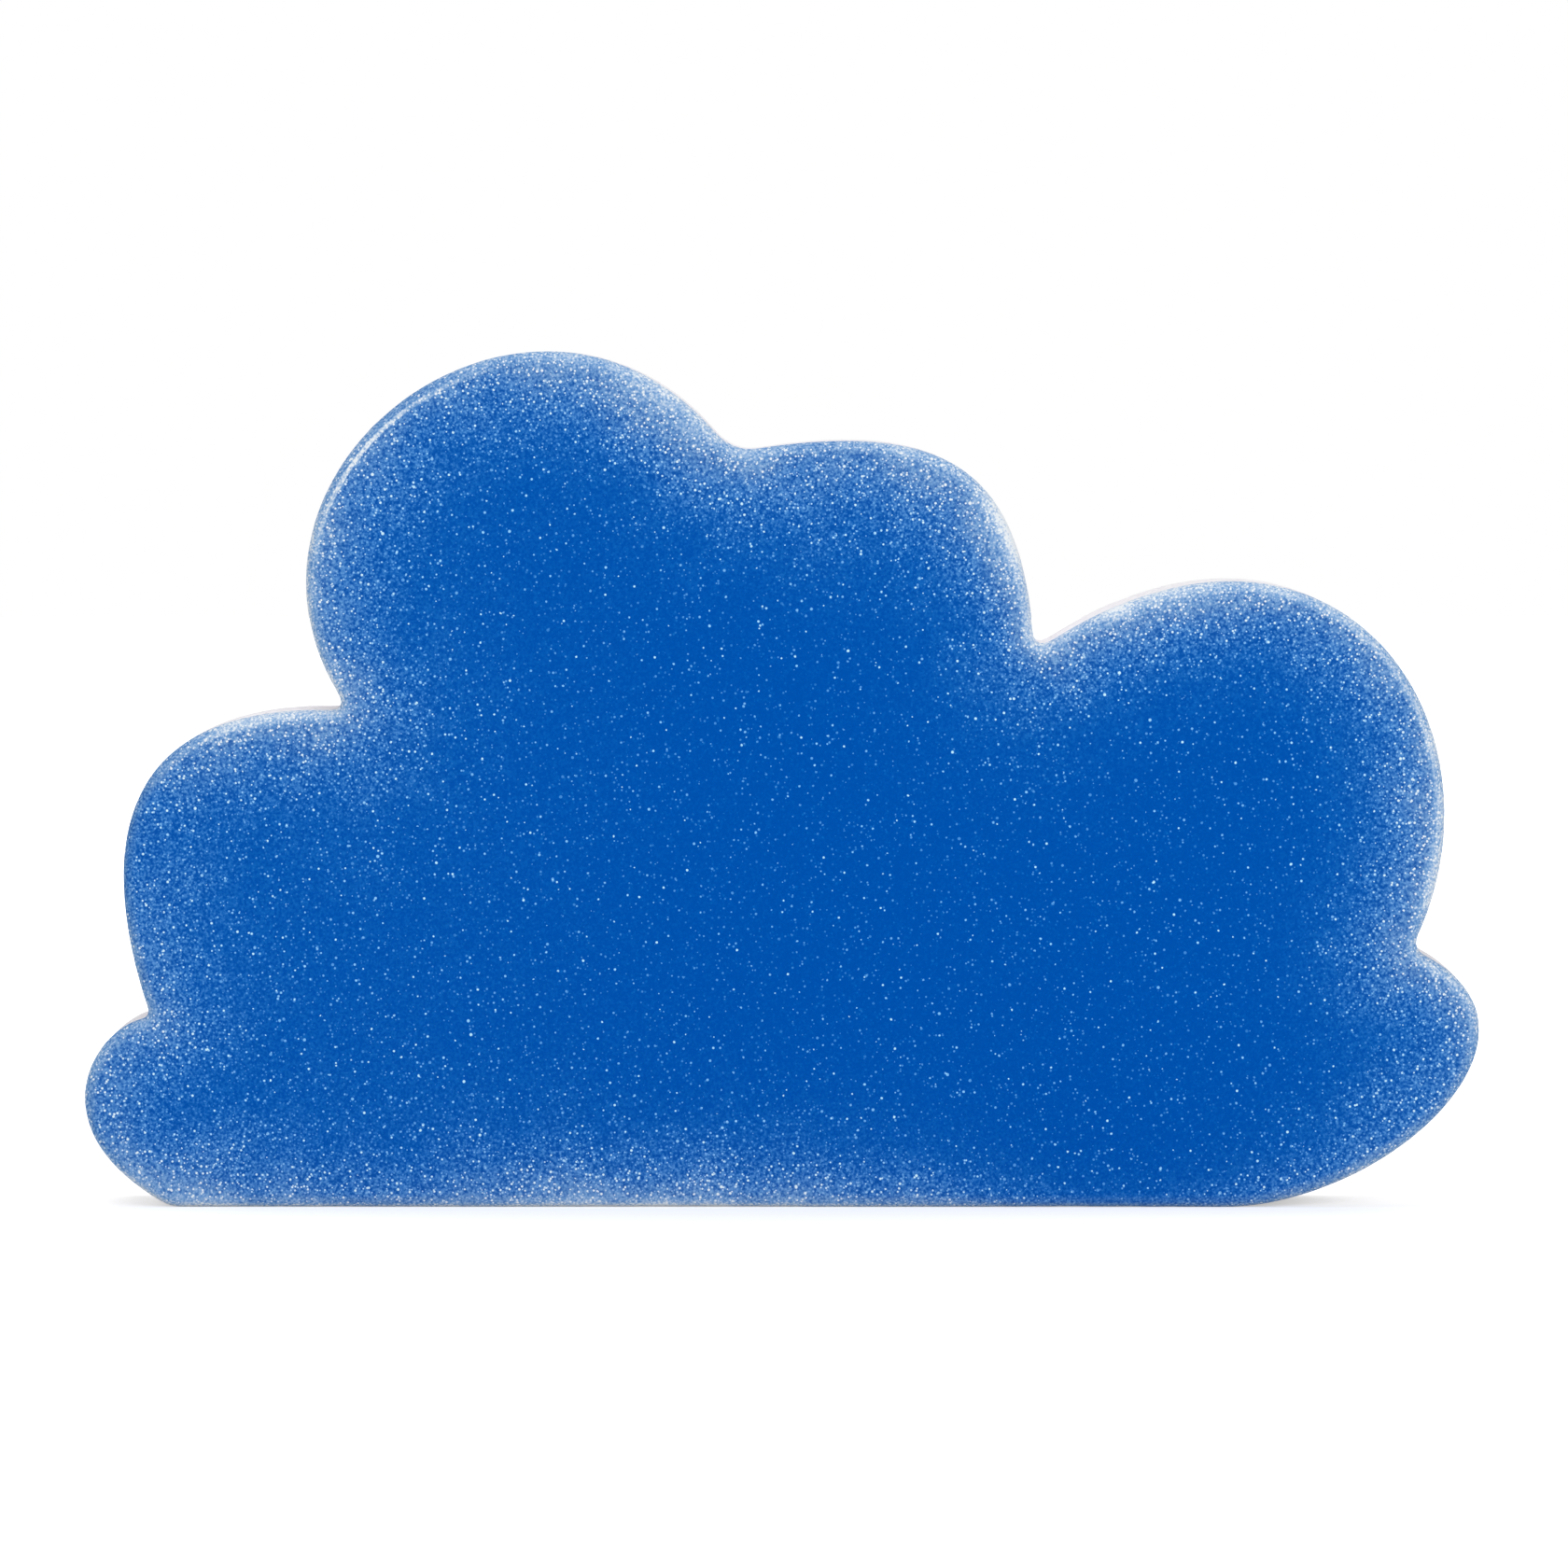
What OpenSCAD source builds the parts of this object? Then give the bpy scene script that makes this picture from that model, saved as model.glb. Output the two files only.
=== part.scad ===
// Cleaning sponge: one sheet of soft foam cut to the outline of a cloud, with a rolled edge round its front face.
// It stands on its flat base. X runs along its length, Y through its thickness towards the back, and Z up.
// The origin is at the middle of the base. All lengths are in millimetres and all angles in degrees.
//
// The outline runs from the base's left end up and over the lobes to its right end. Where two lobes meet is a crease.
// Each lobe is one cubic curve. It starts at one crease along an angle, measured up from the length of the sponge,
// and arrives at the next crease along another. A reach says how strongly the curve keeps to its angle there.

/* [Body] */
// Thickness of the foam, front to back
thickness = 20; // [10:0.5:40]
// Radius of the rolled edge round the front face
front_edge_r = 1.3; // [0.4:0.1:2.5]
// Radius of the softer cut edge round the back face
back_edge_r = 0.8; // [0.3:0.1:2.5]

/* [Base] */
// Left end of the flat base
base_left_x = -61.5; // [-66:0.5:-56]
// Right end of the flat base
base_right_x = 44.5; // [38:0.5:50]
// Length of outline that rounds the corner at the base's left end
base_corner_round = 1; // [0.5:0.5:4]

/* [Creases between the lobes] */
// Lower left crease, along the length
lower_left_crease_x = -63.5; // [-66:0.5:-58]
// Lower left crease, height above the base
lower_left_crease_z = 19; // [16:0.5:23]
// Length of outline that rounds the lower left crease, on each side
lower_left_crease_round = 1; // [0.5:0.5:4]
// Upper left crease, along the length
upper_left_crease_x = -43.5; // [-48:0.5:-38]
// Upper left crease, height above the base
upper_left_crease_z = 50; // [45:0.5:55]
// Length of outline that rounds the upper left crease, on each side
upper_left_crease_round = 2; // [0.5:0.5:4]
// Top crease, along the length
top_crease_x = -5; // [-10:0.5:0]
// Top crease, height above the base
top_crease_z = 76; // [70:0.5:80]
// Length of outline that rounds the top crease, on each side
top_crease_round = 2.5; // [0.5:0.5:5]
// Upper right crease, along the length
upper_right_crease_x = 25.5; // [20:0.5:31]
// Upper right crease, height above the base
upper_right_crease_z = 56; // [50:0.5:60]
// Length of outline that rounds the upper right crease, on each side
upper_right_crease_round = 2; // [0.5:0.5:4]
// Lower right crease, along the length
lower_right_crease_x = 63.5; // [58:0.5:67]
// Lower right crease, height above the base
lower_right_crease_z = 26; // [22:0.5:30]
// Length of outline that rounds the lower right crease, on each side
lower_right_crease_round = 1.5; // [0.5:0.5:4]

/* [Lower left lobe] */
// Angle at which the lobe leaves the base
lower_left_lobe_start = 152; // [140:1:165]
// Reach of the lobe's start
lower_left_lobe_start_reach = 17; // [12:0.5:20]
// Angle at which the lobe arrives at the lower left crease
lower_left_lobe_end = -2; // [-15:1:30]
// Reach of the lobe's end
lower_left_lobe_end_reach = 5; // [3:0.5:8]

/* [Left lobe] */
// Angle at which the lobe leaves the lower left crease
left_lobe_start = 109; // [98:1:120]
// Reach of the lobe's start
left_lobe_start_reach = 14.5; // [10:0.5:20]
// Angle at which the lobe arrives at the upper left crease
left_lobe_end = -3; // [-15:1:10]
// Reach of the lobe's end
left_lobe_end_reach = 26.5; // [20:0.5:32]

/* [Top lobe] */
// Angle at which the lobe leaves the upper left crease
top_lobe_start = 125; // [112:1:136]
// Reach of the lobe's start
top_lobe_start_reach = 29.5; // [22:0.5:36]
// Angle at which the lobe arrives at the top crease
top_lobe_end = -54; // [-64:1:-44]
// Reach of the lobe's end
top_lobe_end_reach = 31.5; // [24:0.5:38]

/* [Middle lobe] */
// Angle at which the lobe leaves the top crease
middle_lobe_start = 10; // [0:1:22]
// Reach of the lobe's start
middle_lobe_start_reach = 21; // [14:0.5:26]
// Angle at which the lobe arrives at the upper right crease
middle_lobe_end = -87; // [-100:1:-76]
// Reach of the lobe's end
middle_lobe_end_reach = 19.5; // [14:0.5:25]

/* [Right lobe] */
// Angle at which the lobe leaves the upper right crease
right_lobe_start = 34; // [22:1:46]
// Reach of the lobe's start
right_lobe_start_reach = 36.5; // [28:0.5:44]
// Angle at which the lobe arrives at the lower right crease
right_lobe_end = -117; // [-128:1:-105]
// Reach of the lobe's end
right_lobe_end_reach = 25; // [18:0.5:32]

/* [Lower right lobe] */
// Angle at which the lobe leaves the lower right crease
lower_right_lobe_start = -23; // [-35:1:-12]
// Reach of the lobe's start
lower_right_lobe_start_reach = 19; // [13:0.5:24]
// Reach of the lobe's end, where it runs level into the base
lower_right_lobe_end_reach = 17; // [11:0.5:23]

/* [Hidden] */
// Stretches of outline that one lobe's curve and one crease's blend are drawn with
lobe_steps = 32;
crease_steps = 5;
// Steps round a quarter turn of the front and the back edge
front_edge_steps = 6;
back_edge_steps = 4;
// Share of a crease's round that its blend's poles reach, which makes the blend close to an arc
blend_fullness = 0.55;
// Direction in which the outline runs along the base, from its right end back to its left end
base_way = 180;

base_left = [base_left_x, 0];
lower_left_crease = [lower_left_crease_x, lower_left_crease_z];
upper_left_crease = [upper_left_crease_x, upper_left_crease_z];
top_crease = [top_crease_x, top_crease_z];
upper_right_crease = [upper_right_crease_x, upper_right_crease_z];
lower_right_crease = [lower_right_crease_x, lower_right_crease_z];
base_right = [base_right_x, 0];

function aim(angle) = [cos(angle), sin(angle)];

// The outside of the outline lies on the left of its way round, seen from the front
function outward(way) = [-way.y, way.x];

function way_of(outward) = [outward.y, -outward.x];

// Four poles of the cubic curve from one point and angle to another
function cubic(start, start_angle, start_reach, end, end_angle, end_reach) = [
    start,
    start + start_reach * aim(start_angle),
    end - end_reach * aim(end_angle),
    end
];

function cubic_point(c, t) =
    pow(1 - t, 3) * c[0] + 3 * pow(1 - t, 2) * t * c[1] + 3 * (1 - t) * pow(t, 2) * c[2] + pow(t, 3) * c[3];

function cubic_way(c, t) =
    let (way = pow(1 - t, 2) * (c[1] - c[0]) + 2 * (1 - t) * t * (c[2] - c[1]) + pow(t, 2) * (c[3] - c[2]))
    way / norm(way);

// A station is a point of the outline with the direction that leads out of the foam there
function station(c, t) = [cubic_point(c, t), outward(cubic_way(c, t))];

function lobe_stations(c, start_round, end_round) =
    let (first = start_round / norm(c[1] - c[0]) / 3)
    let (last = 1 - end_round / norm(c[3] - c[2]) / 3)
    [for (i = [0 : lobe_steps]) station(c, first + (last - first) * i / lobe_steps)];

// The stations between two others, on a curve that leaves and meets them smoothly
function blend_stations(a, b, round) =
    let (reach = blend_fullness * round)
    let (c = [a[0], a[0] + reach * way_of(a[1]), b[0] - reach * way_of(b[1]), b[0]])
    [for (i = [1 : crease_steps - 1]) station(c, i / crease_steps)];

function first_of(list) = list[0];

function last_of(list) = list[len(list) - 1];

lower_left_lobe = lobe_stations(
    cubic(base_left, lower_left_lobe_start, lower_left_lobe_start_reach,
        lower_left_crease, lower_left_lobe_end, lower_left_lobe_end_reach),
    base_corner_round, lower_left_crease_round);

left_lobe = lobe_stations(
    cubic(lower_left_crease, left_lobe_start, left_lobe_start_reach,
        upper_left_crease, left_lobe_end, left_lobe_end_reach),
    lower_left_crease_round, upper_left_crease_round);

top_lobe = lobe_stations(
    cubic(upper_left_crease, top_lobe_start, top_lobe_start_reach,
        top_crease, top_lobe_end, top_lobe_end_reach),
    upper_left_crease_round, top_crease_round);

middle_lobe = lobe_stations(
    cubic(top_crease, middle_lobe_start, middle_lobe_start_reach,
        upper_right_crease, middle_lobe_end, middle_lobe_end_reach),
    top_crease_round, upper_right_crease_round);

right_lobe = lobe_stations(
    cubic(upper_right_crease, right_lobe_start, right_lobe_start_reach,
        lower_right_crease, right_lobe_end, right_lobe_end_reach),
    upper_right_crease_round, lower_right_crease_round);

lower_right_lobe = lobe_stations(
    cubic(lower_right_crease, lower_right_lobe_start, lower_right_lobe_start_reach,
        base_right, base_way, lower_right_lobe_end_reach),
    lower_right_crease_round, 0);

// Last station of the flat base, where the rounding of its left corner begins
base_end = [base_left + [base_corner_round, 0], outward(aim(base_way))];

outline = concat(
    [base_end],
    blend_stations(base_end, first_of(lower_left_lobe), base_corner_round),
    lower_left_lobe,
    blend_stations(last_of(lower_left_lobe), first_of(left_lobe), lower_left_crease_round),
    left_lobe,
    blend_stations(last_of(left_lobe), first_of(top_lobe), upper_left_crease_round),
    top_lobe,
    blend_stations(last_of(top_lobe), first_of(middle_lobe), top_crease_round),
    middle_lobe,
    blend_stations(last_of(middle_lobe), first_of(right_lobe), upper_right_crease_round),
    right_lobe,
    blend_stations(last_of(right_lobe), first_of(lower_right_lobe), lower_right_crease_round),
    lower_right_lobe
);

// Middle of the outline's length, which goes over the origin
outline_x = [for (s = outline) s[0].x];
middle_x = (min(outline_x) + max(outline_x)) / 2;

// Edge profile from the front face round to the back face: how far in from the outline, and where through the thickness
front_y = -thickness / 2;
back_y = thickness / 2;
edge_profile = concat(
    [for (i = [0 : front_edge_steps]) let (a = 90 * i / front_edge_steps)
        [front_edge_r * (1 - sin(a)), front_y + front_edge_r * (1 - cos(a))]],
    [for (i = [0 : back_edge_steps]) let (a = 90 * i / back_edge_steps)
        [back_edge_r * (1 - cos(a)), back_y - back_edge_r * (1 - sin(a))]]
);

// The point that sees the whole outline: both flat faces fan out from it
hub = [(upper_left_crease.x + upper_right_crease.x) / 2, (lower_left_crease.y + lower_right_crease.y) / 2];

// The outline, drawn in by the edge profile's first value at its second value through the thickness
function ring(profile) = [for (s = outline) let (p = s[0] - profile[0] * s[1]) [p.x, profile[1], p.y]];

// The foam's skin: a ring of points for each step of the edge profile, closed by a fan at the front and the back
module foam_body() {
    n = len(outline);
    rings = len(edge_profile);
    back_hub = rings * n;
    front_hub = back_hub + 1;
    points = concat(
        [for (profile = edge_profile) each ring(profile)],
        [[hub.x, back_y, hub.y], [hub.x, front_y, hub.y]]
    );
    faces = concat(
        [for (j = [0 : n - 1]) [front_hub, j, (j + 1) % n]],
        [for (k = [0 : rings - 2], j = [0 : n - 1]) let (a = k * n, b = a + n, i = (j + 1) % n)
            each [[a + i, a + j, b + j], [a + i, b + j, b + i]]],
        [for (j = [0 : n - 1]) let (a = back_hub - n) [back_hub, a + (j + 1) % n, a + j]]
    );
    polyhedron(points = points, faces = faces, convexity = 6);
}

module sponge() {
    color("royalblue")
        translate([-middle_x, 0, 0])
            foam_body();
}

sponge();
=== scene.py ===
"""A cloud-shaped cleaning sponge: one piece of pale foam with a blue sprayed face, on a white floor."""
import math

import bpy
import numpy as np
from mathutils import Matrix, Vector, geometry, kdtree, noise


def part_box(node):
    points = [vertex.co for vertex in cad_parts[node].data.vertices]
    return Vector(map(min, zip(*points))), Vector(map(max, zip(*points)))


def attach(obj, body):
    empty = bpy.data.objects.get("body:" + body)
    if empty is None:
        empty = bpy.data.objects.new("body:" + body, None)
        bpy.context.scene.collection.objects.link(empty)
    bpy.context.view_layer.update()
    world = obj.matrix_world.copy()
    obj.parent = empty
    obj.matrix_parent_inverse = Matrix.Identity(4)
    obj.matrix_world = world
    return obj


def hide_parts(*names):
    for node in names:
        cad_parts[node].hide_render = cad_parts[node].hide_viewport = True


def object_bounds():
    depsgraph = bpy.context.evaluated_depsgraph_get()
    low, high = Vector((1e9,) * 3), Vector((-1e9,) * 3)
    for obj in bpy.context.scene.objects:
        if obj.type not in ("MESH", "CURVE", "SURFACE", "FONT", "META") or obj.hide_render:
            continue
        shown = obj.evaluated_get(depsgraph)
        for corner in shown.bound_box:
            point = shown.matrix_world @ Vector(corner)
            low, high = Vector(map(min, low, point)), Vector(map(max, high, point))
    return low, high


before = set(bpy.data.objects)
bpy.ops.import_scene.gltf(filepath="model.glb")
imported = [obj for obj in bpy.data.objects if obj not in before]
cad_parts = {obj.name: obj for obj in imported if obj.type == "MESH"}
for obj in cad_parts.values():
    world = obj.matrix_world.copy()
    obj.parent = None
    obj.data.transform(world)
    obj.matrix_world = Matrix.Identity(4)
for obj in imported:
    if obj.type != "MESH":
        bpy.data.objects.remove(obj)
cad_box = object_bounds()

MM = 0.001
NODE = "sponge"

# Camera: where it is, the point at the middle of its picture, and the width it sees at the front face
EYE = (0.004, -1.310, 0.08508)
LOOK_AT = (0.0002, -0.010, 0.04268)
VIEW_WIDTH = 0.15778
SENSOR_WIDTH = 36.0

# Light that the world gives the sponge, as a share of the white that the camera sees
WORLD_LIGHT = 0.42
# Soft lamps: place, size in metres, power in watts
LAMPS = {
    "key": ((0.60, -1.10, 0.45), 0.60, 6.0),
    "fill": ((-0.60, -1.20, 0.12), 0.80, 4.6),
    "top": ((-0.18, 0.12, 1.08), 0.80, 4.3),
    "back": ((0.30, 1.20, 0.60), 0.80, 3.2),
}
# Half the floor's width in metres. The camera sees it lifted to white by these shares of white,
# the first inside the first distance from its middle, and the second beyond the second distance
FLOOR_REACH = 3.0
FLOOR_LIFT = (0.45, 1.0)
FLOOR_LIFT_AT = (0.1, 0.6)

# Sizes below are in millimetres. The edge radii are those of the solid.
FRONT_EDGE_R = 1.3
BACK_EDGE_R = 0.8
FRONT_EDGE_STEPS = 8
BACK_EDGE_STEPS = 5
# Distances in from the outline of the rings that frame the flat front and back
FRONT_RINGS = (1.55, 1.85, 2.25)
BACK_RINGS = (1.3,)
# Longest step between the outline's points before it is smoothed
OUTLINE_STEP = 4
# Spacing of the mesh along the outline, through the thickness, on the front face and on the back
STATION_SPACING = 0.46
WALL_SPACING = 0.72
FRONT_SPACING = 0.68
BACK_SPACING = 0.8
# The faces' points: how far each is moved at random, and how far they stay off the rings, in spacings
FILL_JITTER = 0.12
FILL_CLEARANCE = 0.62
FILL_SEED = 7
# The point that sees the whole outline
HUB = (-9.0, 22.5)

# Spray on the front face: its strength at the outline and the distance in which it thins to a third
SPRAY = 0.39
SPRAY_REACH = 4.4
# A denser strip of it lies close to the edge: mean strength and reach
NEAR_SPRAY = 0.06
NEAR_REACH = 1.6
# The rolled edge itself is paler, partly a painted highlight on its rounding: how much, and the distances in
# from the outline between which that ends
EDGE_PALE_AND_HIGHLIGHT = 0.14
EDGE_PALE_AND_HIGHLIGHT_END = (0.70, 1.40)
# Both are stronger where the edge looks to the upper right, partly painted light from that side: how much
# more, and that direction
NEAR_SPRAY_AND_LIGHT_SWING = 0.06
EDGE_PALE_AND_LIGHT_SWING = 0.08
PALE_AND_LIT_WAY = math.radians(30)
# Where it looks down the outermost part is painted paler still, painted light against the shade near the
# floor: how much, how far in, and that direction
RIM_PAINTED_LIGHT = 0.38
RIM_PAINTED_LIGHT_END = 0.60
RIM_PAINTED_LIGHT_WAY = math.radians(-108)
# Places where these differ: x, z, radius, and what is added to the spray's strength, to its reach and to the
# edge's paleness. They were given to bring the render nearer to the photograph, place by place
SPOTS = (
    (-38, 82, 6, -0.11, -0.5, -0.04),
    (-49, 65, 7, 0.03, 0.0, 0.10),
    (-22, 86, 8, 0.08, 0.2, -0.08),
    (-11, 82, 8, 0.34, 1.3, -0.24),
    (-4, 77, 6, 0.05, 0.6, -0.11),
    (3, 77, 5, -0.04, 0.0, 0.0),
    (14, 77, 8, 0.03, 0.5, -0.06),
    (22, 69, 8, 0.31, 0.1, -0.07),
    (25, 59, 6, -0.02, -1.7, -0.02),
    (34, 60, 8, 0.53, -1.8, -0.12),
    (42, 63, 7, 0.18, -0.2, -0.09),
    (52, 62, 8, 0.05, -0.2, 0.0),
    (58, 59, 5, -0.03, 0.0, 0.03),
    (66, 37, 9, 0.14, 0.4, -0.03),
    (64, 27, 6, 0.0, -0.6, 0.0),
    (69, 11, 7, -0.24, 1.8, -0.09),
    (56, 4, 8, -0.12, 1.6, 0.04),
    (34, 0, 20, -0.32, -1.9, 0.0),
    (8, 0, 8, 0.01, -0.9, 0.0),
    (-14, 0, 14, 0.22, -1.5, 0.0),
    (-41, 0, 11, -0.13, -1.7, 0.0),
    (-62, 1, 7, 0.15, 0.4, 0.0),
    (-69, 5, 5, -0.13, 0.6, -0.08),
    (-70, 12, 6, -0.03, 1.0, 0.0),
    (-65, 22, 8, -0.09, -0.8, 0.06),
    (-66, 36, 10, -0.27, 1.9, -0.03),
    (-62, 45, 5, -0.07, -0.2, 0.03),
    (-52, 50, 7, 0.21, -1.0, 0.02),
    (-47, 58, 6, 0.10, -1.5, 0.0),
)
# Thin haze over the left half of the face
LEFT_HAZE = 0.03
LEFT_HAZE_FROM, LEFT_HAZE_TO = 5, -50
# and over two other parts: x, z, radius and strength
HAZES = (
    (6, 68, 8, 0.04),
    (61, 21, 8, 0.04),
)
# Painted highlight, a pale line where the face turns into the rolled edge: x, z, radius, strength and
# distance in from the outline
RIM_HIGHLIGHTS = (
    (-45, 73, 6, 0.24, 0.82),
    (-41, 78, 7, 0.34, 0.93),
    (-35, 83, 5, 0.14, 1.18),
    (-58, 48, 5, 0.12, 0.78),
    (64, 50, 9, 0.10, 0.66),
)
# How far from its middle the painted highlight line reaches
RIM_HIGHLIGHT_WIDTH = 0.31
# The blue coat ends on the side wall: how far behind the front face, over how much to each side, how ragged
COAT_END = 2.4
COAT_FADE = 1.2
COAT_RAGGED = 0.9

# The haze is uneven, in clouds of this length, by this share
CLOUD_LENGTH = 5.0
CLOUD_SWING = 0.2
# The part of the haze that is an even tone. The rest is grain and specks
EVEN_HAZE = 0.93
# Length of the grain, which also makes the specks ragged
FINE_LENGTH = 0.26
# What grows with the haze: the haze at which it is full, its value without haze, and its value when full
GRAIN_STRENGTH = (0.14, 0.20, 1.15)
SMALL_SHARE = (0.15, 0.36, 1.0)
SMALL_BRIGHT = (0.30, 0.24, 0.49)
LARGE_SHARE = (0.08, 0.122, 0.95)
LARGE_BRIGHT = 0.255
# Specks lie in cells, one in each cell of the share above: size of the cells and usual radius of the specks
SMALL_CELL = 0.30
SMALL_RADIUS = 0.15
LARGE_CELL = 0.62
LARGE_RADIUS = 0.185
# Smallest and largest speck, as shares of that radius, and how ragged they are
SPECK_SIZES = (0.6, 1.15)
SPECK_RAGGED = 0.1
# How much the rolled edge hides the specks
EDGE_HIDES = 0.4
# The cells are turned by this angle about this axis
CELL_AXIS = (0.6, 0.2, 0.77)
CELL_TURN = math.radians(37)

# Unevenness of the cut foam: height and length of its long waves and of its fine grain
WAVE = 0.07
WAVE_LENGTH = 19.0
GRAIN = 0.022
GRAIN_LENGTH = 1.6
# Pits in the bare foam: how many, their radius and depth, and the height above which their middles lie
PITS = 420
PIT_RADIUS = (0.6, 1.3)
PIT_DEPTH = (0.14, 0.36)
PITS_ABOVE = 1.5
PIT_SEED = 11

# Height of the finest unevenness, which is a bump: all of it for a pore, and a share of it for the coat
BUMP_HEIGHT = 0.12
BUMP_STRENGTH = 0.6
COAT_BUMP = 0.4
ROUGH_LENGTH = 0.5

# Colours, as they look in the picture
# Blue coat as a growing share of it is hidden: by pale specks on the face, and at the edge by bare foam,
# painted highlight and painted light
COAT_ON_FACE = (
    (0.00, (0, 82, 174)),
    (0.12, (8, 101, 189)),
    (0.45, (79, 153, 226)),
    (0.80, (141, 208, 255)),
    (1.00, (194, 240, 255)),
)
COAT_AT_EDGE = (
    (0.00, (26, 84, 160)),
    (0.12, (50, 101, 173)),
    (0.25, (70, 121, 187)),
    (0.50, (117, 161, 211)),
    (0.75, (176, 200, 228)),
    (1.00, (234, 240, 245)),
)
# The even tone from which the second of these holds alone
EDGE_COLOUR_FROM = 0.33
FOAM = (250, 248, 251)
# Colour of the painted shade in the foam's pores
FOAM_PORE_SHADE = (213, 210, 219)
# Pores of the foam: size of their cells, distance from a cell's middle, in cells, at which a pore starts and
# is deepest, how ragged they are, least depth and what chance adds to it
PORE_CELL = 0.58
PORE_REACH = (0.58, 0.10)
PORE_RAGGED = 0.7
PORE_DEPTH = (0.2, 0.75)
FOAM_ROUGHNESS = 0.9
FLOOR = (238, 238, 238)


def linear(colour):
    """A colour of 0 to 255 as Blender's linear red, green, blue and alpha."""
    shares = [c / 255 for c in colour]
    return [s / 12.92 if s <= 0.04045 else ((s + 0.055) / 1.055) ** 2.4 for s in shares] + [1.0]


# Outline

def cad_outline():
    """The sponge's outline as points (x, z), from the ring of the solid's points nearest its middle."""
    points = np.array([v.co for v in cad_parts[NODE].data.vertices]) / MM
    y = points[np.argmin(np.abs(points[:, 1])), 1]
    ring = points[np.abs(points[:, 1] - y) < 0.001][:, (0, 2)]
    ring = np.unique(np.round(ring, 4), axis=0)
    turn = np.arctan2(ring[:, 1] - HUB[1], ring[:, 0] - HUB[0])
    return ring[np.argsort(turn)]


def split_long(points, most):
    """The same loop, with points added along its long straight stretches."""
    split = []
    for a, b in zip(points, np.roll(points, -1, axis=0)):
        steps = max(1, math.ceil(np.linalg.norm(b - a) / most))
        split += [a + (b - a) * i / steps for i in range(steps)]
    return np.array(split)


def smooth_loop(points, steps=10):
    """A closed Catmull-Rom curve through the points."""
    p = [np.roll(points, shift, axis=0) for shift in (1, 0, -1, -2)]
    t = [np.zeros((len(points), 1))]
    for a, b in zip(p, p[1:]):
        t.append(t[-1] + np.sqrt(np.linalg.norm(b - a, axis=1))[:, None])

    def between(a, b, ta, tb, at):
        return ((tb - at) * a + (at - ta) * b) / (tb - ta)

    curve = []
    for step in range(steps):
        at = t[1] + (t[2] - t[1]) * step / steps
        a = [between(p[k], p[k + 1], t[k], t[k + 1], at) for k in range(3)]
        b = [between(a[k], a[k + 1], t[k], t[k + 2], at) for k in range(2)]
        curve.append(between(b[0], b[1], t[1], t[2], at))
    return np.stack(curve, axis=1).reshape(-1, 2)


def even_loop(points, spacing):
    """The same loop, with its points evenly spaced."""
    closed = np.vstack([points, points[:1]])
    along = np.concatenate([[0], np.cumsum(np.linalg.norm(np.diff(closed, axis=0), axis=1))])
    count = round(along[-1] / spacing)
    at = np.arange(count) * along[-1] / count
    return np.stack([np.interp(at, along, closed[:, k]) for k in (0, 1)], axis=1)


def outward(loop):
    """The direction out of the foam at each point of a loop that runs anticlockwise, seen from the front."""
    way = np.roll(loop, -1, axis=0) - np.roll(loop, 1, axis=0)
    way /= np.linalg.norm(way, axis=1)[:, None]
    return np.stack([way[:, 1], -way[:, 0]], axis=1)


class Edge:
    """The nearest point of the outline to any other: how far it is, and which way is out there."""

    def __init__(self, loop):
        self.out = outward(loop)
        self.tree = kdtree.KDTree(len(loop))
        for i, (x, z) in enumerate(loop):
            self.tree.insert((x, z, 0), i)
        self.tree.balance()

    def near(self, points):
        found = [self.tree.find((x, z, 0)) for x, z in points]
        return np.array([f[2] for f in found]), self.out[[f[1] for f in found]]


# Sponge's mesh

def edge_profile(half):
    """How far in from the outline and where through the thickness each ring lies, from front to back."""
    quarter = math.pi / 2
    rings = [(inset, -half) for inset in reversed(FRONT_RINGS)]
    for i in range(FRONT_EDGE_STEPS + 1):
        a = quarter * i / FRONT_EDGE_STEPS
        rings.append((FRONT_EDGE_R * (1 - math.sin(a)), -half + FRONT_EDGE_R * (1 - math.cos(a))))
    front_end = -half + FRONT_EDGE_R
    back_start = half - BACK_EDGE_R
    wall_steps = round((back_start - front_end) / WALL_SPACING)
    for i in range(1, wall_steps):
        rings.append((0.0, front_end + (back_start - front_end) * i / wall_steps))
    for i in range(BACK_EDGE_STEPS + 1):
        a = quarter * i / BACK_EDGE_STEPS
        rings.append((BACK_EDGE_R * (1 - math.cos(a)), half - BACK_EDGE_R * (1 - math.sin(a))))
    return rings + [(inset, half) for inset in BACK_RINGS]


def inside(points, loop):
    """Which points lie inside the loop."""
    x, z = points[:, :1], points[:, 1:]
    (ax, az), (bx, bz) = loop.T, np.roll(loop, -1, axis=0).T
    crosses = (az > z) != (bz > z)
    rise = np.where(bz == az, 1, bz - az)
    return (crosses & (x < ax + (z - az) * (bx - ax) / rise)).sum(axis=1) % 2 == 1


def filling(loop, spacing, rng):
    """Points spread evenly inside a loop, in a slightly uneven grid of triangles."""
    low, high = loop.min(axis=0), loop.max(axis=0)
    rows = np.arange(low[1], high[1], spacing * math.sqrt(3) / 2)
    grid = []
    for i, z in enumerate(rows):
        x = np.arange(low[0] + spacing / 2 * (i % 2), high[0], spacing)
        grid.append(np.stack([x, np.full(len(x), z)], axis=1))
    grid = np.concatenate(grid)
    grid += rng.uniform(-FILL_JITTER, FILL_JITTER, grid.shape) * spacing
    grid = grid[inside(grid, loop)]
    far, _ = Edge(loop).near(grid)
    return grid[far > FILL_CLEARANCE * spacing]


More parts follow.
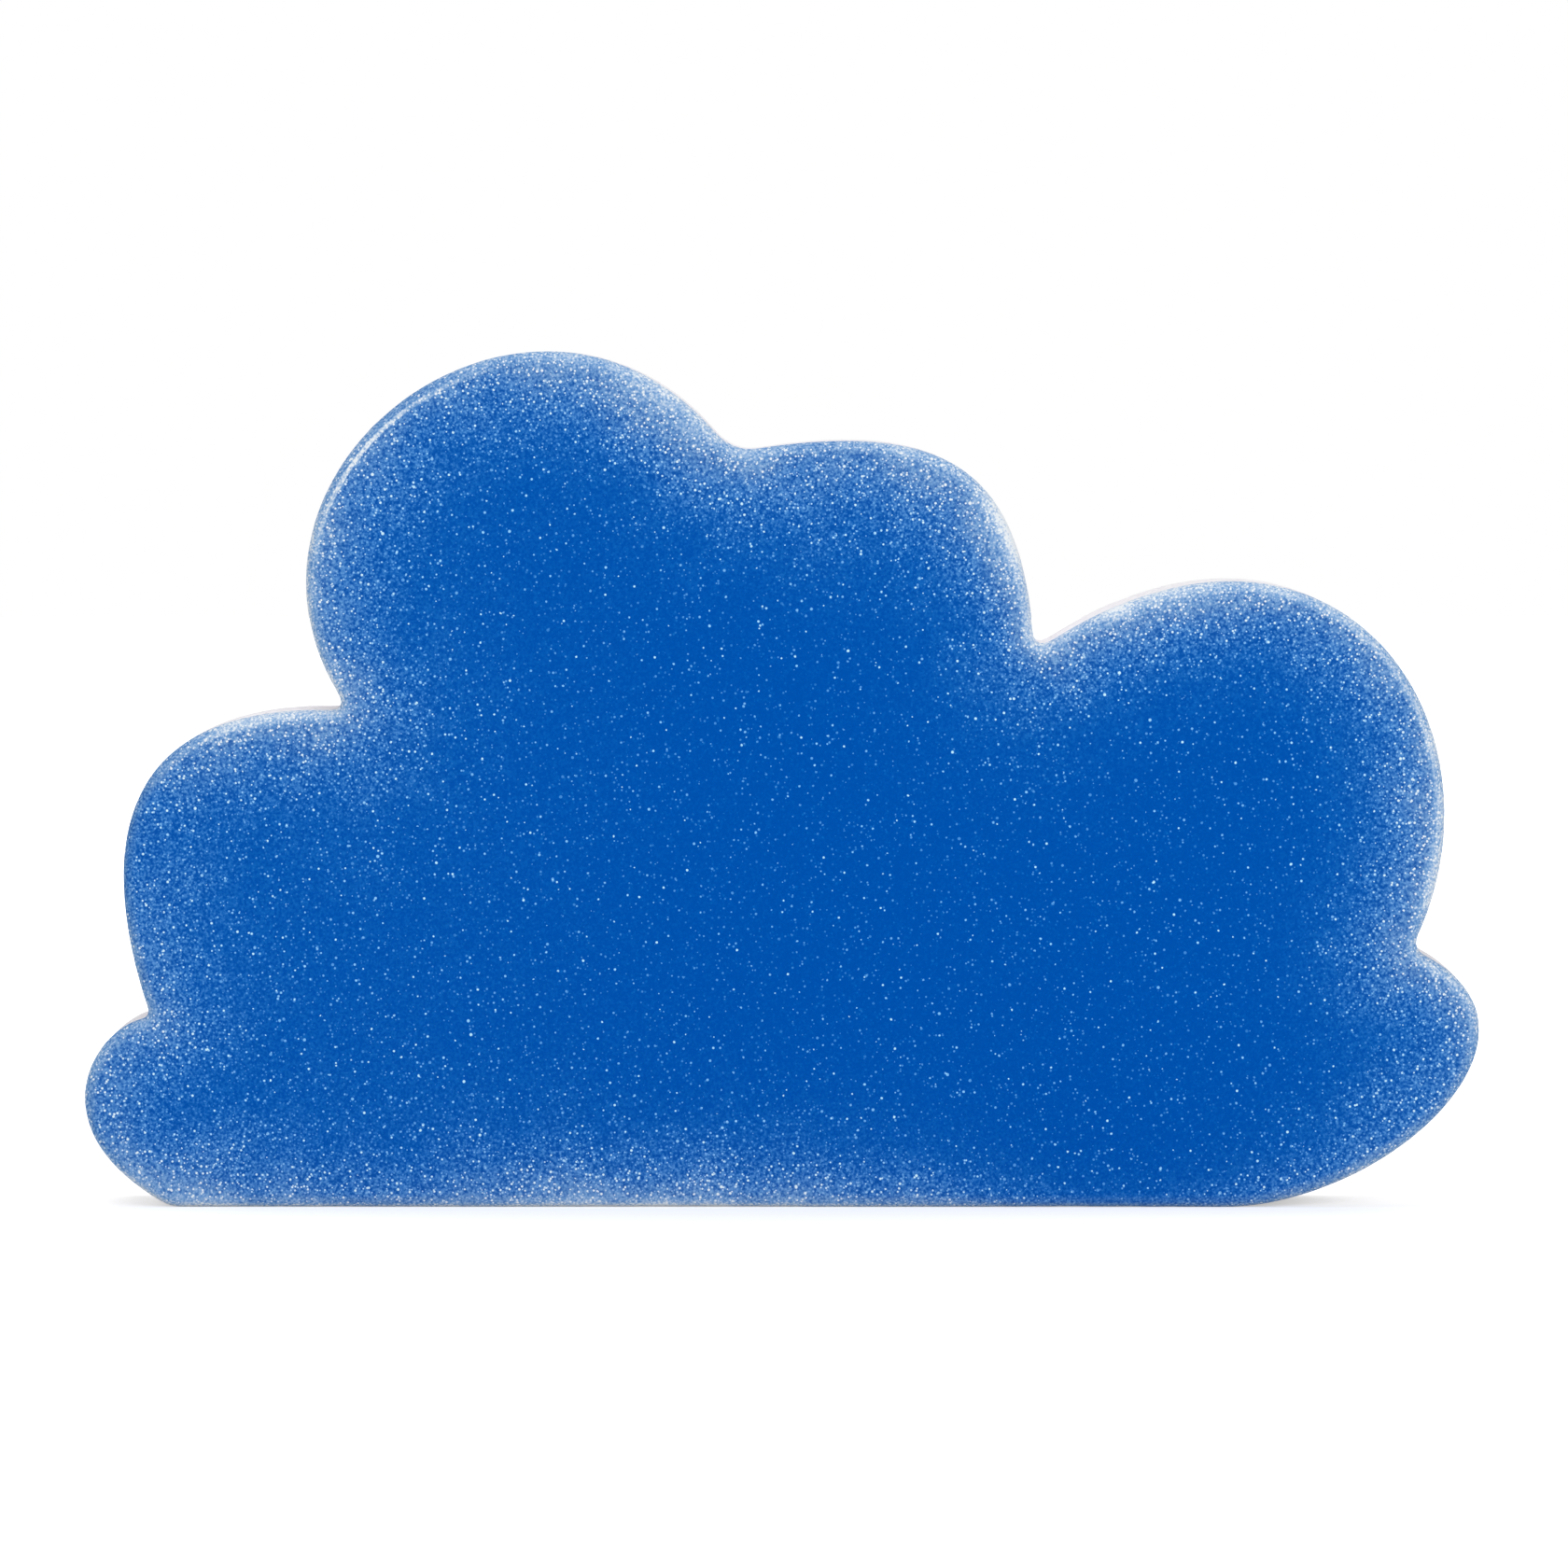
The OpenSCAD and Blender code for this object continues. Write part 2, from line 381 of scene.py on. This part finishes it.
def flat_triangles(loop, spacing, rng):
    """Points added inside a loop, and the triangles that join them and the loop's own points."""
    points = np.concatenate([loop, filling(loop, spacing, rng)])
    ring = [(i, (i + 1) % len(loop)) for i in range(len(loop))]
    inside_only = 1
    found = geometry.delaunay_2d_cdt([Vector(p) for p in points], ring, [], inside_only, 1e-6)
    first = [origin[0] for origin in found[3]]
    return points[len(loop):], [[first[i] for i in face] for face in found[2]]


def sponge_mesh(outline, half):
    """The sponge's points and faces: rings round the edges and the wall, closed by a flat front and back."""
    rng = np.random.default_rng(FILL_SEED)
    out = outward(outline)
    profile = edge_profile(half)
    n = len(outline)
    points = [np.insert(outline - inset * out, 1, y, axis=1) for inset, y in profile]
    faces = []
    for k in range(len(profile) - 1):
        a, b = k * n, (k + 1) * n
        faces += [(a + i, b + i, b + (i + 1) % n, a + (i + 1) % n) for i in range(n)]
    for ring, y, spacing in ((0, -half, FRONT_SPACING), (len(profile) - 1, half, BACK_SPACING)):
        loop = points[ring][:, (0, 2)]
        added, triangles = flat_triangles(loop, spacing, rng)
        start = sum(len(p) for p in points)
        places = list(range(ring * n, ring * n + n)) + list(range(start, start + len(added)))
        turned = -1 if y > 0 else 1
        faces += [tuple(places[i] for i in face[::turned]) for face in triangles]
        points.append(np.insert(added, 1, y, axis=1))
    return np.concatenate(points), faces


def smooth_step(x):
    x = np.clip(x, 0, 1)
    return x * x * (3 - 2 * x)


def uneven(points, normals, coat):
    """The points moved a little along their normals: long waves, fine grain, and pits in bare foam."""
    shift = np.array([
        WAVE * noise.noise(Vector(p) / WAVE_LENGTH) + GRAIN * noise.noise(Vector(p) / GRAIN_LENGTH)
        for p in points
    ])
    rng = np.random.default_rng(PIT_SEED)
    tree = kdtree.KDTree(len(points))
    for i, p in enumerate(points):
        tree.insert(p, i)
    tree.balance()
    bare = np.flatnonzero((coat < 0.02) & (points[:, 2] > PITS_ABOVE))
    for centre in rng.choice(bare, PITS, replace=False):
        radius, depth = rng.uniform(*PIT_RADIUS), rng.uniform(*PIT_DEPTH)
        for _, i, far in tree.find_range(points[centre], radius):
            shift[i] -= depth * (1 - (far / radius) ** 2) ** 2
    moved = points + normals * shift[:, None]
    moved[:, 2] = np.maximum(moved[:, 2], 0)
    return moved


# Sponge's coat

def spots_at(points, spots, value):
    """The sum of soft round spots at each point (x, z)."""
    total = np.zeros(len(points))
    for spot in spots:
        away = np.linalg.norm(points - spot[:2], axis=1) / spot[2]
        total += spot[value] * np.exp(-away ** 2)
    return total


def facing(out, way):
    """1 where the edge looks that way, -1 where it looks the other way."""
    return out[:, 0] * math.cos(way) + out[:, 1] * math.sin(way)


def haze_at(flat, inset, out):
    """How much of the blue the spray hides, from the distance to the outline and the place on the face."""
    strength = SPRAY + spots_at(flat, SPOTS, 3)
    reach = SPRAY_REACH + spots_at(flat, SPOTS, 4)
    # The near strip is stronger toward the upper right, partly painted light from that side
    near = NEAR_SPRAY + NEAR_SPRAY_AND_LIGHT_SWING * facing(out, PALE_AND_LIT_WAY)
    left = LEFT_HAZE * smooth_step((flat[:, 0] - LEFT_HAZE_FROM) / (LEFT_HAZE_TO - LEFT_HAZE_FROM))
    thin = left + spots_at(flat, HAZES, 3)
    return strength * np.exp(-inset / reach) + near * np.exp(-inset / NEAR_REACH) + thin


def edge_pale_and_light_at(flat, inset, out):
    """How much paler the rolled edge is painted than the spray makes it: partly a painted highlight on its
    rounding, and painted light where it looks down.
    """
    # The paleness is stronger toward the upper right, partly painted light from that side
    pale = EDGE_PALE_AND_HIGHLIGHT + EDGE_PALE_AND_LIGHT_SWING * facing(out, PALE_AND_LIT_WAY) + spots_at(flat, SPOTS, 5)
    down = (1 + facing(out, RIM_PAINTED_LIGHT_WAY)) / 2
    # Painted light: the outermost edge is paler where it looks down, against the shade near the floor
    return pale + RIM_PAINTED_LIGHT * down ** 2 * smooth_step(1 - inset / RIM_PAINTED_LIGHT_END)


def rim_highlight_inset_at(flat):
    """How far in the painted highlight line lies: that of the nearest stretches of it."""
    near = [spots_at(flat, [line], 3) + 1e-9 for line in RIM_HIGHLIGHTS]
    return sum(n * line[4] for n, line in zip(near, RIM_HIGHLIGHTS)) / sum(near)


def coat_at(points, half):
    """1 where the foam is coated, falling to 0 along the side wall behind the front edge."""
    behind = points[:, 1] + half
    return 1 - smooth_step((behind - (COAT_END - COAT_FADE)) / (2 * COAT_FADE))


def store(mesh, name, values):
    mesh.attributes.new(name, "FLOAT", "POINT").data.foreach_set("value", values.astype(np.float32))


def make_sponge():
    """The foam piece, with the values that its material reads held at its points."""
    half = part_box(NODE)[1].y / MM
    curve = smooth_loop(split_long(cad_outline(), OUTLINE_STEP))
    outline = even_loop(curve, STATION_SPACING)
    edge = Edge(even_loop(curve, STATION_SPACING / 3))
    points, faces = sponge_mesh(outline, half)
    mesh = bpy.data.meshes.new("sponge_foam")
    mesh.from_pydata(points, [], faces)
    mesh.update()
    normals = np.zeros(len(points) * 3, np.float32)
    mesh.vertex_normals.foreach_get("vector", normals)
    coat = coat_at(points, half)
    moved = uneven(points, normals.reshape(-1, 3), coat)
    mesh.vertices.foreach_set("co", (moved * MM).astype(np.float32).ravel())
    mesh.shade_smooth()
    mesh.update()

    flat = points[:, (0, 2)]
    inset, out = edge.near(flat)
    store(mesh, "coat", coat)
    store(mesh, "inset", inset)
    store(mesh, "haze", haze_at(flat, inset, out))
    # The rolled edge's paleness: partly a painted highlight on its rounding, and painted light where it looks
    # down
    store(mesh, "edge_pale_and_light", edge_pale_and_light_at(flat, inset, out))
    # The painted highlight line along the start of the rolled edge
    store(mesh, "rim_highlight", spots_at(flat, RIM_HIGHLIGHTS, 3))
    store(mesh, "rim_highlight_inset", rim_highlight_inset_at(flat))
    piece = bpy.data.objects.new("sponge_foam", mesh)
    bpy.context.scene.collection.objects.link(piece)
    return piece


# Materials

def add(tree, kind, inputs=None, **settings):
    """A new node. The value of an input is a number, a colour or another node's output."""
    made = tree.nodes.new(kind)
    for name, value in settings.items():
        setattr(made, name, value)
    for name, value in (inputs or {}).items():
        if isinstance(value, bpy.types.NodeSocket):
            tree.links.new(value, made.inputs[name])
        else:
            made.inputs[name].default_value = value
    return made


def calc(tree, operation, *values, clamp=False):
    """The result of a Math node."""
    inputs = dict(enumerate(values))
    return add(tree, "ShaderNodeMath", inputs, operation=operation, use_clamp=clamp).outputs[0]


def eased(tree, value, low, high, to_low=0.0, to_high=1.0):
    """The value carried smoothly from one range to another."""
    inputs = {"Value": value, "From Min": low, "From Max": high, "To Min": to_low, "To Max": to_high}
    return add(tree, "ShaderNodeMapRange", inputs, interpolation_type="SMOOTHSTEP").outputs["Result"]


def held(tree, name):
    """A value that the mesh holds at its points."""
    return add(tree, "ShaderNodeAttribute", attribute_name=name).outputs["Fac"]


def noise_at(tree, place, length, detail=1.0):
    """Noise of 0 to 1 whose features are about as long as length, in millimetres."""
    inputs = {"Vector": place, "Scale": 1 / (length * MM), "Detail": detail}
    return add(tree, "ShaderNodeTexNoise", inputs).outputs["Fac"]


def mix_colours(tree, share, a, b):
    """The first colour where the share is 0, carried to the second where it is 1."""
    return add(tree, "ShaderNodeMix", {0: share, 6: a, 7: b}, data_type="RGBA").outputs[2]


def cells_at(tree, place, size):
    """The cells of a Voronoi pattern, turned so that they don't line up with the flat face."""
    turn = {"Vector": place, "Axis": CELL_AXIS, "Angle": CELL_TURN}
    turned = add(tree, "ShaderNodeVectorRotate", turn).outputs["Vector"]
    return add(tree, "ShaderNodeTexVoronoi", {"Vector": turned, "Scale": 1 / (size * MM)})


def specks(tree, place, ragged, cell, radius, share, brightness):
    """Ragged flecks of uneven size, in some of the cells of a Voronoi pattern. Few are bright, many dim."""
    cells = cells_at(tree, place, cell)
    chance = add(tree, "ShaderNodeSeparateColor", {"Color": cells.outputs["Color"]}).outputs
    least, most = [share_of * radius / cell for share_of in SPECK_SIZES]
    size = eased(tree, chance[2], 0.0, 1.0, least, most)
    away = calc(tree, "MULTIPLY_ADD", ragged, SPECK_RAGGED / cell, cells.outputs["Distance"])
    shape = eased(tree, away, size, calc(tree, "MULTIPLY", size, 0.5))
    there = calc(tree, "LESS_THAN", chance[0], share)
    rarity = calc(tree, "ABSOLUTE", calc(tree, "LOGARITHM", chance[1], math.e))
    bright = calc(tree, "MINIMUM", calc(tree, "MULTIPLY", rarity, brightness), 1.0)
    return calc(tree, "MULTIPLY", calc(tree, "MULTIPLY", shape, there), bright)


def grown(tree, haze, growth):
    """A value that grows with the haze."""
    full_at, without, full = growth
    return eased(tree, haze, 0.0, full_at, without, full)


def shades(tree, share, stops):
    """The colour for a share, from stops of share and colour."""
    ramp = add(tree, "ShaderNodeValToRGB", {"Fac": share})
    made = ramp.color_ramp.elements
    made.remove(made[-1])
    made[0].color = linear(stops[0][1])
    for at, colour in stops[1:]:
        made.new(at).color = linear(colour)
    return ramp.outputs["Color"]


def foam_colour(tree, place, uneven_by):
    """Bare foam: its colour, pale with painted shade in pores packed side by side, and how deep they are."""
    cells = cells_at(tree, place, PORE_CELL)
    chance = add(tree, "ShaderNodeSeparateColor", {"Color": cells.outputs["Color"]}).outputs[0]
    away = calc(tree, "MULTIPLY_ADD", uneven_by, PORE_RAGGED, cells.outputs["Distance"])
    least, added = PORE_DEPTH
    depth = calc(tree, "MULTIPLY_ADD", calc(tree, "POWER", chance, 1.5), added, least)
    pore = calc(tree, "MULTIPLY", eased(tree, away, *PORE_REACH), depth)
    # The pores are painted darker: painted shade in the foam's hollows
    return mix_colours(tree, pore, linear(FOAM), linear(FOAM_PORE_SHADE)), pore


def rim_highlight_strength(tree, inset):
    """How strong the painted highlight line is, at a distance in from the outline."""
    off_line = calc(tree, "ABSOLUTE", calc(tree, "SUBTRACT", inset, held(tree, "rim_highlight_inset")))
    line = eased(tree, off_line, RIM_HIGHLIGHT_WIDTH, 0.4 * RIM_HIGHLIGHT_WIDTH)
    return calc(tree, "MULTIPLY", line, held(tree, "rim_highlight"))


def coat_colour(tree, place):
    """The blue coat's colour: an even pale tone, with grain and two sizes of speck on it, and a painted
    highlight and painted light at the rolled edge.
    """
    inset = held(tree, "inset")
    # The painted highlight line along the start of the rolled edge, which also hides the specks
    line = rim_highlight_strength(tree, inset)
    edge = eased(tree, inset, EDGE_PALE_AND_HIGHLIGHT_END[1], EDGE_PALE_AND_HIGHLIGHT_END[0])
    clouds = noise_at(tree, place, CLOUD_LENGTH)
    cloudy = eased(tree, clouds, 0.25, 0.75, 1 - CLOUD_SWING, 1 + CLOUD_SWING)
    haze = calc(tree, "MULTIPLY", held(tree, "haze"), cloudy)

    fine = calc(tree, "SUBTRACT", noise_at(tree, place, FINE_LENGTH, 1.5), 0.5)
    grain = calc(tree, "MULTIPLY", fine, grown(tree, haze, GRAIN_STRENGTH))
    small_share, small_bright = grown(tree, haze, SMALL_SHARE), grown(tree, haze, SMALL_BRIGHT)
    small = specks(tree, place, fine, SMALL_CELL, SMALL_RADIUS, small_share, small_bright)
    large_share = grown(tree, haze, LARGE_SHARE)
    large = specks(tree, place, fine, LARGE_CELL, LARGE_RADIUS, large_share, LARGE_BRIGHT)
    hidden = calc(tree, "MAXIMUM", line, calc(tree, "MULTIPLY", edge, EDGE_HIDES))
    shown = calc(tree, "SUBTRACT", 1.0, hidden)
    flecks = calc(tree, "MULTIPLY", calc(tree, "ADD", small, large), shown)

    # The rolled edge painted paler: partly a painted highlight on its rounding, and painted light where it
    # looks down
    edge_tone = calc(tree, "MULTIPLY", edge, held(tree, "edge_pale_and_light"))
    even = calc(tree, "ADD", calc(tree, "MULTIPLY_ADD", haze, EVEN_HAZE, edge_tone), line)
    pale = calc(tree, "ADD", calc(tree, "ADD", even, grain), flecks, clamp=True)
    at_edge = calc(tree, "DIVIDE", even, EDGE_COLOUR_FROM, clamp=True)
    return mix_colours(tree, at_edge, shades(tree, pale, COAT_ON_FACE), shades(tree, pale, COAT_AT_EDGE))


def foam_material():
    """Pale open-cell foam with painted shade in its pores, and a blue coat on its front, thinned to a haze of
    pale specks near the edges.
    """
    material = bpy.data.materials.new("coated_foam")
    material.use_nodes = True
    tree = material.node_tree
    shader = tree.nodes["Principled BSDF"]
    place = add(tree, "ShaderNodeTexCoord").outputs["Object"]

    rough = calc(tree, "SUBTRACT", noise_at(tree, place, ROUGH_LENGTH), 0.5)
    bare, pore = foam_colour(tree, place, rough)
    ragged_end = calc(tree, "MULTIPLY_ADD", rough, COAT_RAGGED, held(tree, "coat"))
    colour = mix_colours(tree, eased(tree, ragged_end, 0.3, 0.7), bare, coat_colour(tree, place))
    tree.links.new(colour, shader.inputs["Base Color"])

    pore_height = calc(tree, "MULTIPLY", pore, -1.0)
    coat_height = calc(tree, "MULTIPLY", rough, COAT_BUMP)
    heights = {0: held(tree, "coat"), 2: pore_height, 3: coat_height}
    height = add(tree, "ShaderNodeMix", heights).outputs[0]
    shape = {"Height": height, "Strength": BUMP_STRENGTH, "Distance": BUMP_HEIGHT * MM}
    tree.links.new(add(tree, "ShaderNodeBump", shape).outputs["Normal"], shader.inputs["Normal"])
    shader.inputs["Roughness"].default_value = FOAM_ROUGHNESS
    shader.inputs["Specular IOR Level"].default_value = 0.0
    return material


def floor_material():
    """White floor: seen by the camera it is lifted to white, and it keeps the sponge's shadow."""
    material = bpy.data.materials.new("white_floor")
    material.use_nodes = True
    tree = material.node_tree
    tree.nodes.clear()
    diffuse = add(tree, "ShaderNodeBsdfDiffuse", {"Color": linear(FLOOR)})
    seen = seen_directly(tree)
    place = add(tree, "ShaderNodeTexCoord").outputs["Object"]
    away = add(tree, "ShaderNodeVectorMath", {0: place}, operation="LENGTH").outputs["Value"]
    lifted = eased(tree, away, *FLOOR_LIFT_AT, *FLOOR_LIFT)
    lift = add(tree, "ShaderNodeEmission", {"Strength": calc(tree, "MULTIPLY", seen, lifted)})
    both = add(tree, "ShaderNodeAddShader", {0: diffuse.outputs[0], 1: lift.outputs[0]})
    add(tree, "ShaderNodeOutputMaterial", {"Surface": both.outputs[0]})
    return material


def seen_directly(tree):
    """1 for rays from the camera, and for those that come by way of a reflection or glass."""
    rays = add(tree, "ShaderNodeLightPath").outputs
    seen = calc(tree, "MAXIMUM", rays["Is Camera Ray"], rays["Is Glossy Ray"])
    return calc(tree, "MAXIMUM", seen, rays["Is Transmission Ray"])


# Stage

def make_floor():
    mesh = bpy.data.meshes.new("floor")
    turns = ((-1, -1), (1, -1), (1, 1), (-1, 1))
    corners = [(x * FLOOR_REACH, y * FLOOR_REACH, 0) for x, y in turns]
    mesh.from_pydata(corners, [], [(0, 1, 2, 3)])
    floor = bpy.data.objects.new("floor", mesh)
    bpy.context.scene.collection.objects.link(floor)
    mesh.materials.append(floor_material())


def make_world():
    """White to the camera and a soft even light on the sponge."""
    world = bpy.data.worlds.new("studio")
    world.use_nodes = True
    tree = world.node_tree
    background = tree.nodes["Background"]
    background.inputs["Color"].default_value = (1, 1, 1, 1)
    strength = calc(tree, "MULTIPLY", seen_directly(tree), 1.0 - WORLD_LIGHT)
    tree.links.new(calc(tree, "ADD", strength, WORLD_LIGHT), background.inputs["Strength"])
    bpy.context.scene.world = world


def point_at(thing, target):
    way = Vector(target) - thing.location
    thing.rotation_euler = way.to_track_quat("-Z", "Y").to_euler()


def make_lamps():
    middle = (cad_box[0] + cad_box[1]) / 2
    for name, (place, size, power) in LAMPS.items():
        light = bpy.data.lights.new(name, "AREA")
        light.size = size
        light.energy = power
        lamp = bpy.data.objects.new(name, light)
        lamp.location = place
        bpy.context.scene.collection.objects.link(lamp)
        point_at(lamp, middle)


def make_camera():
    data = bpy.data.cameras.new("camera")
    camera = bpy.data.objects.new("camera", data)
    camera.location = EYE
    bpy.context.scene.collection.objects.link(camera)
    point_at(camera, LOOK_AT)
    data.sensor_width = SENSOR_WIDTH
    data.lens = SENSOR_WIDTH * (Vector(LOOK_AT) - Vector(EYE)).length / VIEW_WIDTH
    data.clip_start, data.clip_end = 0.05, 20
    bpy.context.scene.camera = camera


make_camera()
make_world()
make_lamps()
make_floor()

sponge = make_sponge()
sponge.data.materials.append(foam_material())
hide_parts(NODE)
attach(sponge, "root")

bpy.context.scene.view_settings.view_transform = "Standard"
